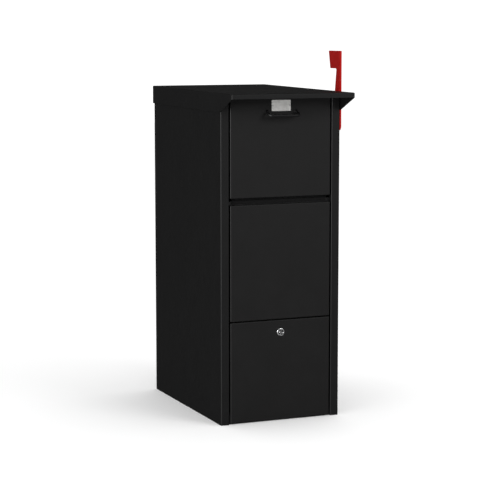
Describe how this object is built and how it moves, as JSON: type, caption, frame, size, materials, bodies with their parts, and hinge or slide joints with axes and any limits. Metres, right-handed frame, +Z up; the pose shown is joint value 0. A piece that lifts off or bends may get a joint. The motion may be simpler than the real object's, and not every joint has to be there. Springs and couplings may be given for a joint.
{
  "type": "free-standing mail and parcel drop box",
  "caption": "Tall folded-steel drop box with a pull-down hopper over a locked bottom-hinged access door and a side signal flag.",
  "frame": {"origin": "on the ground at the middle of the cabinet's base", "axes": "+Z up, the front faces -Y, +X to the right as seen from the front"},
  "size_m": [0.4146, 0.6969, 1.15],
  "materials": {
    "cabinet_paint": "black powder coat, fine texture, satin",
    "front_paint": "black powder coat, fine texture, satin",
    "inner_paint": "thin black powder coat inside",
    "hinge_steel": "black coated hinge leaf",
    "handle_paint": "black enamel, smoother than the cabinet",
    "zinc": "zinc plated",
    "rubber": "matte black rubber",
    "label_metal": "satin, blank",
    "lock_chrome": "polished",
    "flag_paint": "red powder coat, satin",
    "nylon": "natural nylon"
  },
  "bodies": {
    "cabinet": {"left_side_panel": "cabinet_paint", "right_side_panel": "cabinet_paint", "back_panel": "cabinet_paint", "floor_pan": "inner_paint", "lid": "cabinet_paint", "lid_studs": "zinc", "lid_nuts": "zinc", "header_rail": "inner_paint", "theft_baffle": "inner_paint", "middle_panel": "front_paint", "hopper_sill": "inner_paint", "keeper_rail": "inner_paint", "hopper_stop_brackets": "inner_paint", "hopper_stop_pads": "rubber", "hopper_bumpers": "rubber", "access_bumpers": "rubber", "hopper_hinge_frame_leaf": "hinge_steel", "hopper_hinge_pin": "zinc", "access_hinge_frame_leaf": "hinge_steel", "access_hinge_pin": "zinc", "threshold_rivets": "zinc", "flag_spacer": "rubber", "flag_bolt": "zinc", "flag_nut": "zinc"},
    "hopper": {"hopper_door": "front_paint", "hopper_tray": "inner_paint", "hopper_left_cheek": "inner_paint", "hopper_right_cheek": "inner_paint", "hopper_hinge_door_leaf": "hinge_steel", "hopper_hinge_rivets": "zinc", "cheek_rivets": "inner_paint", "pull_handle": "handle_paint", "handle_screws": "handle_paint", "label_plate": "label_metal", "label_pins": "zinc"},
    "access_door": {"access_door": "front_paint", "access_door_stiffener": "inner_paint", "access_hinge_door_leaf": "hinge_steel", "lock_body": "lock_chrome", "lock_nut": "zinc"},
    "lock_cylinder": {"lock_plug": "lock_chrome", "lock_cam": "zinc", "cam_screw": "zinc"},
    "signal_flag": {"flag": "flag_paint", "flag_bush": "nylon"}
  },
  "joints": [
    {"name": "hopper_tilt", "type": "hinge", "parent": "cabinet", "child": "hopper", "pos_m": [0, -0.284, 0.6998], "axis": [1, 0, 0], "range_deg": [0, 50]},
    {"name": "access_door_swing", "type": "hinge", "parent": "cabinet", "child": "access_door", "pos_m": [0, -0.2923, 0.0087], "axis": [1, 0, 0], "range_deg": [0, 85]},
    {"name": "lock_turn", "type": "hinge", "parent": "access_door", "child": "lock_cylinder", "pos_m": [0, -0.297, 0.281], "axis": [0, -1, 0], "range_deg": [0, 90]},
    {"name": "flag_turn", "type": "hinge", "parent": "cabinet", "child": "signal_flag", "pos_m": [0.2052, -0.267, 0.917], "axis": [-1, 0, 0], "range_deg": [0, 90]}
  ]
}
